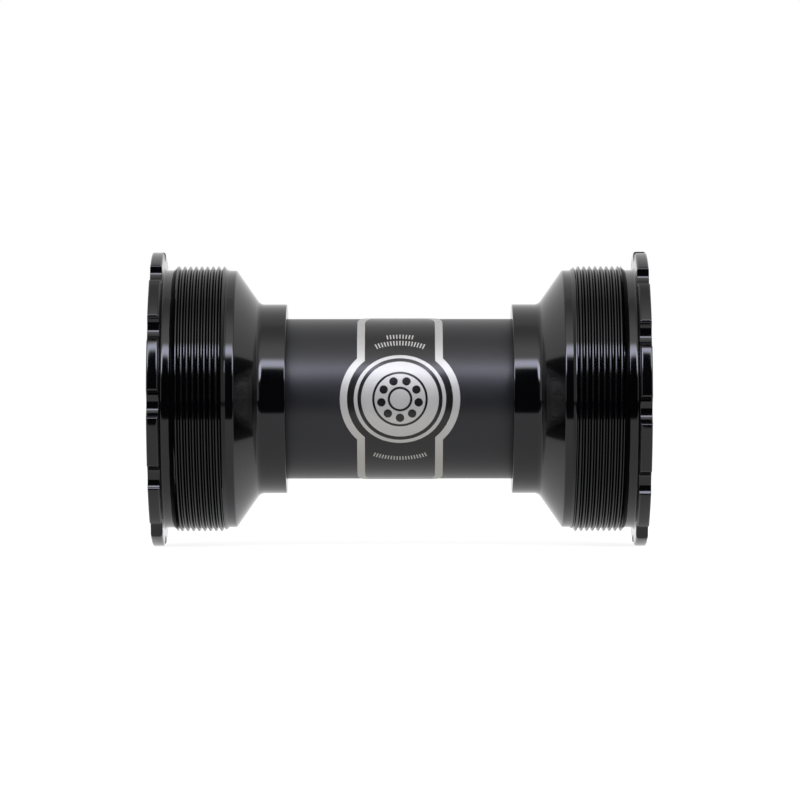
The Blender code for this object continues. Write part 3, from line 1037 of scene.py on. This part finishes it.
    def rim_ring(
        self, rings: RingMesh, rim: np.ndarray, u: float, depth: float, rounding: float
    ) -> np.ndarray:
        """One ring of the flange's edge.

        Args:
            rings: the mesh to add to.
            rim: the rim's points.
            u: place of the ring.
            depth: how far it is from the flange's nearer face.
            rounding: rounding of the edge at that face.

        Returns:
            The ring's point numbers.
        """
        ahead = np.roll(rim, -1, axis=0) - np.roll(rim, 1, axis=0)
        inward = np.column_stack((-ahead[:, 1], ahead[:, 0]))
        inward /= np.linalg.norm(inward, axis=1)[:, None]
        moved = rim + inward * max(self.notch_deburr - depth, 0.0)
        short = max(rounding - depth, 0.0)
        cap = self.flange_radius - rounding + math.sqrt(rounding**2 - short**2)
        radius = np.linalg.norm(moved, axis=1)
        moved *= np.minimum(1.0, cap / radius)[:, None]
        turn = np.degrees(np.arctan2(moved[:, 1], moved[:, 0]))
        return rings.ring(u, np.linalg.norm(moved, axis=1), turn)

    def flange(self, rings: RingMesh, rim: np.ndarray) -> list[np.ndarray]:
        """Relief, fillet and flange, from the thread's end to the outer face.

        Args:
            rings: the mesh to add to.
            rim: the rim's points.

        Returns:
            The rings' point numbers.
        """
        relief_start = self.thread_end + self.end_chamfer
        corners = [
            Corner(self.thread_end, self.crest_radius),
            Corner(relief_start, self.relief_radius, self.relief_fillet, 4),
            Corner(self.flange_inner, self.relief_radius, self.flange_fillet, 8),
            Corner(self.flange_inner, self.face_ring_radius),
            Corner(self.thread_end, self.face_ring_radius),
        ]
        made = rings.rows(outline(corners)[:-1])
        inner, outer = self.flange_roundings
        steps = [0.0, self.notch_deburr / 2, self.notch_deburr]
        steps += [part * outer for part in self.rounding_parts]
        for depth in [*steps, inner]:
            made.append(self.rim_ring(rings, rim, self.flange_inner + depth, depth, inner))
        for depth in steps[::-1]:
            made.append(self.rim_ring(rings, rim, self.flange_outer - depth, depth, outer))
        made.append(rings.ring(self.flange_outer, self.face_ring_radius))
        return made

    def inside(self, rings: RingMesh) -> list[np.ndarray]:
        """The bore, from the flange's outer face back to the collar.

        Args:
            rings: the mesh to add to.

        Returns:
            The rings' point numbers.
        """
        lip_start, lip_end, lip_radius = self.lip
        groove_start, groove_end, groove_radius = self.o_ring_groove
        fine, coarse = self.inner_roundings
        corners = [
            Corner(self.flange_outer, self.face_ring_radius),
            Corner(self.flange_outer, self.seat_radius, self.seat_rounding),
            Corner(self.shoulder, self.seat_radius, fine),
            Corner(self.shoulder, self.chamber_radius, coarse),
            Corner(lip_end, self.chamber_radius, self.chamber_fillet),
            Corner(lip_end, lip_radius, coarse),
            Corner(lip_start, lip_radius, fine),
            Corner(lip_start, self.bore_radius, fine),
            Corner(groove_end, self.bore_radius, fine),
            Corner(groove_end, groove_radius, coarse),
            Corner(groove_start, groove_radius, coarse),
            Corner(groove_start, self.bore_radius, fine),
            Corner(self.collar_end, self.bore_radius),
        ]
        return rings.rows(outline(corners)[1:-1])


# --- Centre sleeve and label ---


@dataclass
class CenterSleeve:
    """The tube between the cups."""

    half_length: float = 27.0
    outer_radius: float = 14.15
    inner_radius: float = 13.15
    end_rounding: float = 0.2
    columns: int = 256

    def build(self) -> None:
        """Build the sleeve and put it in the scene."""
        edge = self.end_rounding
        corners = [
            Corner(-self.half_length, self.outer_radius, edge),
            Corner(0.0, self.outer_radius),
            Corner(self.half_length, self.outer_radius, edge),
            Corner(self.half_length, self.inner_radius, edge),
            Corner(-self.half_length, self.inner_radius, edge),
        ]
        mesh = turned_mesh("sleeve_tube", corners, 1.0, self.columns)
        show("sleeve_tube", mesh, SATIN_BLACK, "sleeve", "center_sleeve")


@dataclass
class WrapLabel:
    """The film round the sleeve: a band with round ends and a round middle."""

    inner_radius: float = 14.155
    thickness: float = 0.10
    centre_x: float = 0.1
    centre_around: float = -0.05
    half_length: float = 24.5
    half_width: float = 7.5
    disc_radius: float = 10.5
    column: float = 0.4
    end_steps: int = 24
    rows: int = 24

    def half_widths(self) -> list[tuple[float, float]]:
        """The film's columns as (distance round the sleeve, half width), end to end."""
        band_end = self.half_length - self.half_width
        disc_edge = math.sqrt(self.disc_radius**2 - self.half_width**2)
        half = []
        for along in np.linspace(0.0, disc_edge, math.ceil(disc_edge / self.column) + 1):
            half.append((along, math.sqrt(self.disc_radius**2 - along**2)))
        straight = math.ceil((band_end - disc_edge) / self.column)
        for along in np.linspace(disc_edge, band_end, straight + 1)[1:]:
            half.append((along, self.half_width))
        for step in range(1, self.end_steps):
            angle = math.pi / 2 * step / self.end_steps
            along = band_end + self.half_width * math.sin(angle)
            half.append((along, self.half_width * math.cos(angle)))
        return [(-along, width) for along, width in half[:0:-1]] + half

    def build(self) -> None:
        """Build the film as a thin closed skin and put it in the scene."""
        sheet = RingMesh()
        across = np.linspace(-1.0, 1.0, self.rows)
        grids = []
        for radius in (self.inner_radius, self.inner_radius + self.thickness):
            columns = []
            for along, width in self.half_widths():
                turn = (along + self.centre_around) / self.inner_radius
                place = np.full(self.rows, turn)
                x = self.centre_x + across * width
                points = np.column_stack((x, -radius * np.cos(place), radius * np.sin(place)))
                columns.append(sheet.add(points * MM))
            grids.append(np.array(columns))
        inner, outer = grids
        for grid in grids:
            cells = (grid[:-1, :-1], grid[1:, :-1], grid[1:, 1:], grid[:-1, 1:])
            sheet.quads(*(cell.ravel() for cell in cells))
        for line in (np.s_[:, 0], np.s_[:, -1], np.s_[0, :], np.s_[-1, :]):
            low, high = inner[line], outer[line]
            sheet.quads(low[:-1], low[1:], high[1:], high[:-1])
        show("wrap_label", sheet.mesh("wrap_label"), LABEL_FILM, "sleeve", "label")


# --- Bearing, bushing and O-ring ---


@dataclass
class CartridgeBearing(TurnedPiece):
    """A 25 x 37 x 7 deep-groove ball bearing with a rubber seal in each face."""

    start: float = 36.0
    width: float = 7.0
    bore_radius: float = 12.5
    outer_radius: float = 18.45
    bore_rounding: float = 0.2
    edge_rounding: float = 0.3
    inner_land: float = 14.4
    outer_land: float = 16.6
    pitch_radius: float = 15.5
    outer_groove: float = 1.90
    inner_groove: float = 1.83
    ball_count: int = 14
    ball_radius: float = 1.75
    seal_recess: tuple[float, float] = (17.3, 0.8)
    seal_radii: tuple[float, float] = (14.55, 17.2)
    seal_thickness: float = 0.5
    seal_inset: float = 0.15
    seal_rim: tuple[float, float] = (0.45, 0.62)
    seal_lip: tuple[float, float] = (0.52, 0.75)
    seal_dish: float = 0.55
    seal_rounding: float = 0.12
    rim_rounding: float = 0.08
    seal_back: float = 0.05
    fine_rounding: float = 0.1
    groove_steps: int = 16
    cage_radii: tuple[float, float] = (15.05, 16.10)
    cage_width: float = 4.4
    cage_rounding: float = 0.12
    pocket_radius: float = 1.88
    pocket_segments: int = 40
    drill_depth: float = 3.0

    @property
    def end(self) -> float:
        """Place of the bearing's outboard face."""
        return self.start + self.width

    @property
    def middle(self) -> float:
        """Place of the balls' centres."""
        return self.start + self.width / 2

    def build(self) -> None:
        """Build all of the bearing's pieces and put them in the scene."""
        self.outer_race()
        self.inner_race()
        self.cage()
        self.balls()
        self.seal("inboard_seal", self.start + self.seal_inset + self.seal_thickness, -1.0)
        self.seal("outboard_seal", self.end - self.seal_inset - self.seal_thickness, 1.0)

    def groove(self, radius: float, land: float) -> list[Corner]:
        """The arc of a ball groove between the two edges of a race's land, from larger u."""
        rise = land - self.pitch_radius
        start = math.degrees(math.asin(rise / radius))
        end = 180.0 - start if rise > 0 else -180.0 - start
        return arc((self.middle, self.pitch_radius), radius, (start, end), self.groove_steps)

    def outer_race(self) -> None:
        """The outer ring."""
        recess_radius, recess_depth = self.seal_recess
        near, far = self.start + recess_depth, self.end - recess_depth
        fine = self.fine_rounding
        self.turn("bearing_outer_race", [
            Corner(self.start, self.outer_radius, self.edge_rounding),
            Corner(self.end, self.outer_radius, self.edge_rounding),
            Corner(self.end, recess_radius, fine),
            Corner(far, recess_radius, fine),
            Corner(far, self.outer_land, fine),
            *self.groove(self.outer_groove, self.outer_land),
            Corner(near, self.outer_land, fine),
            Corner(near, recess_radius, fine),
            Corner(self.start, recess_radius, fine),
        ], GROUND_STEEL, "cup", "outer_race")

    def inner_race(self) -> None:
        """The inner ring."""
        self.turn("bearing_inner_race", [
            Corner(self.start, self.bore_radius, self.bore_rounding),
            Corner(self.end, self.bore_radius, self.bore_rounding),
            Corner(self.end, self.inner_land, self.edge_rounding),
            *self.groove(self.inner_groove, self.inner_land),
            Corner(self.start, self.inner_land, self.edge_rounding),
        ], GROUND_STEEL, "spindle_ring", "inner_race")

    def seal(self, piece: str, back: float, outwards: float) -> None:
        """A moulded seal with a rim bead, a dished web and a lip.

        Args:
            piece: the CAD node's name without its side.
            back: place of the face that is towards the balls.
            outwards: 1 if the seal faces outboard and -1 if it faces inboard.
        """
        inner, outer = self.seal_radii
        face = back + outwards * self.seal_thickness
        web = back + outwards * self.seal_thickness * self.seal_dish
        edge, rounding = self.seal_back, self.seal_rounding
        self.turn(f"bearing_{piece}", [
            Corner(back, inner + edge, edge),
            Corner(back, outer - edge, edge),
            Corner(face, outer, rounding),
            Corner(face, outer - self.seal_rim[0], self.rim_rounding),
            Corner(web, outer - self.seal_rim[1], rounding),
            Corner(web, inner + self.seal_lip[1], rounding),
            Corner(face, inner + self.seal_lip[0], rounding),
            Corner(face, inner, rounding),
        ], SEAL_RUBBER, "cup", piece)

    def ball_centre(self, index: int) -> Vector:
        """A ball's centre in metres."""
        low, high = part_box(self.side.node(f"ball_{index + 1:02d}"))
        return (Vector(low) + Vector(high)) / 2

    def balls(self) -> None:
        """The balls, each of them its own piece."""
        for index in range(self.ball_count):
            shape = bmesh.new()
            bmesh.ops.create_icosphere(
                shape,
                subdivisions=4,
                radius=self.ball_radius * MM,
                matrix=Matrix.Translation(self.ball_centre(index)),
            )
            node = f"ball_{index + 1:02d}"
            mesh = bpy.data.meshes.new(self.side.node(f"bearing_{node}"))
            shape.to_mesh(mesh)
            shape.free()
            mesh.shade_smooth()
            self.put(f"bearing_{node}", mesh, POLISHED_STEEL, "ball_set", node)

    def cage(self) -> None:
        """The ring between the balls, with a round pocket for each."""
        inner, outer = self.cage_radii
        half = self.cage_width / 2
        rounding = self.cage_rounding
        blank = bpy.data.objects.new("cage_blank", turned_mesh("cage_blank", [
            Corner(self.middle - half, inner, rounding),
            Corner(self.middle - half, outer, rounding),
            Corner(self.middle + half, outer, rounding),
            Corner(self.middle + half, inner, rounding),
        ], self.side.sign, self.columns))
        drills = bpy.data.objects.new("cage_drills", self.pocket_drills())
        for helper in (blank, drills):
            bpy.context.scene.collection.objects.link(helper)
        cut = blank.modifiers.new("pockets", "BOOLEAN")
        cut.operation = "DIFFERENCE"
        cut.object = drills
        graph = bpy.context.evaluated_depsgraph_get()
        mesh = bpy.data.meshes.new_from_object(blank.evaluated_get(graph))
        for helper in (blank, drills):
            bpy.data.objects.remove(helper)
        mesh.name = self.side.node("bearing_cage")
        tidy_mesh(mesh, weld=False)
        self.put("bearing_cage", mesh, CAGE_NYLON, "ball_set", "ball_cage")

    def pocket_drills(self) -> bpy.types.Mesh:
        """One mesh with a radial cylinder through each pocket of the cage."""
        shape = bmesh.new()
        axis = Vector((self.side.sign * self.middle * MM, 0.0, 0.0))
        for index in range(self.ball_count):
            centre = self.ball_centre(index)
            lie = (centre - axis).to_track_quat("Z", "Y").to_matrix().to_4x4()
            bmesh.ops.create_cone(
                shape,
                cap_ends=True,
                segments=self.pocket_segments,
                radius1=self.pocket_radius * MM,
                radius2=self.pocket_radius * MM,
                depth=self.drill_depth * MM,
                matrix=Matrix.Translation(centre) @ lie,
            )
        mesh = bpy.data.meshes.new("cage_drills")
        shape.to_mesh(mesh)
        shape.free()
        return mesh


@dataclass
class SpindleBushing(TurnedPiece):
    """The flanged bushing in the inner race, which the spindle goes through."""

    bore_radius: float = 12.05
    outer_radius: float = 12.45
    flange_radius: float = 17.3
    inner_end: float = 36.3
    flange_start: float = 43.12
    flange_end: float = 43.60
    edge_rounding: float = 0.2
    fine_rounding: float = 0.12
    corner_rounding: float = 0.1

    def build(self) -> None:
        """Build the bushing and put it in the scene."""
        self.turn("flanged_bushing", [
            Corner(self.inner_end, self.outer_radius, self.fine_rounding),
            Corner(self.flange_start, self.outer_radius),
            Corner(self.flange_start, self.flange_radius, self.corner_rounding),
            Corner(self.flange_end, self.flange_radius, self.edge_rounding),
            Corner(self.flange_end, self.bore_radius, self.edge_rounding),
            Corner(self.inner_end, self.bore_radius, self.fine_rounding),
        ], BLACK_ACETAL, "spindle_ring", "spindle_bushing")


@dataclass
class SleeveORing(TurnedPiece):
    """The O-ring in a cup's collar, which grips the sleeve."""

    columns: int = 160
    place: float = 22.95
    centre_radius: float = 14.80
    section_radius: float = 0.48
    section_arc: tuple[float, float] = (0.0, 345.0)
    section_steps: int = 23

    def build(self) -> None:
        """Build the O-ring and put it in the scene."""
        centre = (self.place, self.centre_radius)
        corners = arc(centre, self.section_radius, self.section_arc, self.section_steps)
        self.turn("o_ring_seal", corners, O_RING_RUBBER, "o_ring", "sleeve_o_ring")


# --- Studio ---


@dataclass(frozen=True)
class LightArch:
    """A curved softbox over the bracket, brightest low down in front and fading overhead.

    Attributes:
        name: its name.
        distance: its distance from the spindle's axis, in metres.
        half_width: half its length along the axis, in metres.
        span: elevation of its lower and upper edge, where 0 is in front and 90 overhead.
        core: elevations where the bright core starts, is full, starts to fade and ends.
        core_radiance: how bright the core is over the rest.
        glow: elevations where the wide glow starts to fade and ends.
        glow_radiance: how bright the glow is over the rest.
        wing: distance from the middle where the arch starts to reach lower, and where it is lowest.
        wing_drop: how many degrees lower it reaches there.
        wing_radiance: how much brighter the core is there, as a part of its brightness.
        base_radiance: how bright the arch is everywhere.
        colour: colour of the core.
        steps: how many flat strips it is made of.
    """

    name: str = "light_arch"
    distance: float = 0.9
    half_width: float = 0.95
    span: tuple[float, float] = (17.0, 100.0)
    core: tuple[float, float, float, float] = (35.0, 41.0, 44.0, 51.0)
    core_radiance: float = 10.0
    wing: tuple[float, float] = (0.10, 0.40)
    wing_drop: float = 12.0
    wing_radiance: float = 0.25
    glow: tuple[float, float] = (50.0, 92.0)
    glow_radiance: float = 1.6
    base_radiance: float = 0.85
    colour: tuple[float, float, float] = (0.86, 0.88, 1.1)
    steps: int = 28

    def build(self) -> bpy.types.Object:
        """Put the arch in the scene. Only its reflection and its light are seen."""
        points = []
        for angle in np.radians(np.linspace(*self.span, self.steps + 1)):
            y, z = -self.distance * math.cos(angle), self.distance * math.sin(angle)
            points += [(-self.half_width, y, z), (self.half_width, y, z)]
        arch = stage_sheet(self.name, points)
        arch.visible_camera = False
        arch.data.materials.append(self.material())
        return arch

    def material(self) -> bpy.types.Material:
        """The arch's light, which depends on the elevation and on the distance from the middle."""
        sheet = NodeSheet(self.name)
        x, y, z = sheet.place()
        elevation = z.turn_from(-y) * math.degrees(1.0)
        wing = (abs(x) * MM).ramp(*self.wing)
        start, full, fade, end = self.core
        rise = (wing * self.wing_drop + elevation).ramp(start, full)
        core = rise * elevation.ramp(end, fade) * wing.spread(1.0, 1.0 + self.wing_radiance)
        glow = elevation.ramp(self.glow[1], self.glow[0]) * self.glow_radiance
        sheet.paint({
            "Base Color": BLACK,
            "Specular IOR Level": 0.0,
            "Emission Color": sheet.blend(core.lesser(1.0), WHITE[:3], self.colour),
            "Emission Strength": core * self.core_radiance + rise * (glow + self.base_radiance),
        })
        return sheet.material


def stage_sheet(name: str, points: Sequence[tuple[float, float, float]]) -> bpy.types.Object:
    """A flat or folded sheet for the studio.

    Args:
        name: the object's name.
        points: pairs of corners in metres, one pair for each fold line.

    Returns:
        The object.
    """
    mesh = bpy.data.meshes.new(name)
    faces = [(i, i + 1, i + 3, i + 2) for i in range(0, len(points) - 2, 2)]
    mesh.from_pydata(points, [], faces)
    sheet = bpy.data.objects.new(name, mesh)
    bpy.context.scene.collection.objects.link(sheet)
    return sheet


@dataclass
class Studio:
    """A pale floor, a light arch, a dark card for the gloss to reflect, and the camera."""

    floor_half_size: float = 4.0
    floor_glow: float = 0.90
    floor_albedo: float = 0.13
    floor_grain: float = 0.01
    floor_grain_scale: float = 0.4
    floor_roughness: float = 0.9
    surround: float = 1.0
    camera_distance: float = 0.829
    camera_shift: tuple[float, float] = (0.0001, -0.00022)
    camera_roll: float = -0.04
    lens: float = 210.3
    sensor_width: float = 36.0
    clip: tuple[float, float] = (0.01, 20.0)
    card_near: float = 0.088
    card_far: float = 0.85
    card_top: float = 0.275
    card_half_width: float = 0.9
    arch: LightArch = LightArch()

    def build(self) -> None:
        """Put the studio round the bracket."""
        scene = bpy.context.scene
        scene.view_settings.view_transform = "Standard"
        self.surroundings(scene)
        self.floor()
        self.dark_card()
        self.arch.build()
        self.camera(scene)

    def surroundings(self, scene: bpy.types.Scene) -> None:
        """Even white light from all round."""
        world = bpy.data.worlds.new("white_surround")
        world.use_nodes = True
        background = world.node_tree.nodes["Background"]
        background.inputs["Color"].default_value = WHITE
        background.inputs["Strength"].default_value = self.surround
        scene.world = world

    def floor(self) -> None:
        """A pale floor just under the flanges, lit a little from within like a light table."""
        half, z = self.floor_half_size, CAD_BOX[0][2]
        corners = [(x, y, z) for y in (-half, half) for x in (-half, half)]
        floor = stage_sheet("studio_floor", corners)
        sheet = NodeSheet("floor_paper")
        grain = sheet.noise(sheet.vector(*sheet.place()), self.floor_grain_scale, detail=2.0)
        low, high = self.floor_albedo - self.floor_grain, self.floor_albedo + self.floor_grain
        sheet.paint({
            "Base Color": sheet.blend(grain, (low,) * 3, (high,) * 3),
            "Roughness": self.floor_roughness,
            "Specular IOR Level": 0.0,
            "Emission Color": WHITE,
            "Emission Strength": self.floor_glow,
        })
        floor.data.materials.append(sheet.material)

    def dark_card(self) -> None:
        """A black card on the camera's side that only glossy surfaces reflect."""
        half, floor = self.card_half_width, CAD_BOX[0][2] + MM
        fold = [(-self.card_near, floor), (-self.card_far, floor), (-self.card_far, self.card_top)]
        card = stage_sheet("dark_card", [(x, y, z) for y, z in fold for x in (-half, half)])
        card.visible_camera = False
        card.visible_diffuse = False
        card.visible_shadow = False
        sheet = NodeSheet("card_black")
        sheet.paint({"Base Color": BLACK, "Specular IOR Level": 0.0, "Roughness": 1.0})
        card.data.materials.append(sheet.material)

    def camera(self, scene: bpy.types.Scene) -> None:
        """The camera, level with the spindle's axis and square to it."""
        data = bpy.data.cameras.new("camera")
        data.lens = self.lens
        data.sensor_width = self.sensor_width
        data.clip_start, data.clip_end = self.clip
        camera = bpy.data.objects.new("camera", data)
        x, z = self.camera_shift
        forward = Matrix.Rotation(math.pi / 2, 4, "X")
        roll = Matrix.Rotation(math.radians(self.camera_roll), 4, "Z")
        camera.matrix_world = Matrix.Translation((x, -self.camera_distance, z)) @ forward @ roll
        scene.collection.objects.link(camera)
        scene.camera = camera


def main() -> None:
    """Build the bracket's pieces and the studio."""
    logging.basicConfig(level=logging.INFO, format="%(name)s: %(message)s")
    Studio().build()
    CenterSleeve().build()
    WrapLabel().build()
    for side in Side:
        ThreadedCup(side).build()
        CartridgeBearing(side).build()
        SpindleBushing(side).build()
        SleeveORing(side).build()


if __name__ == "__main__":
    main()
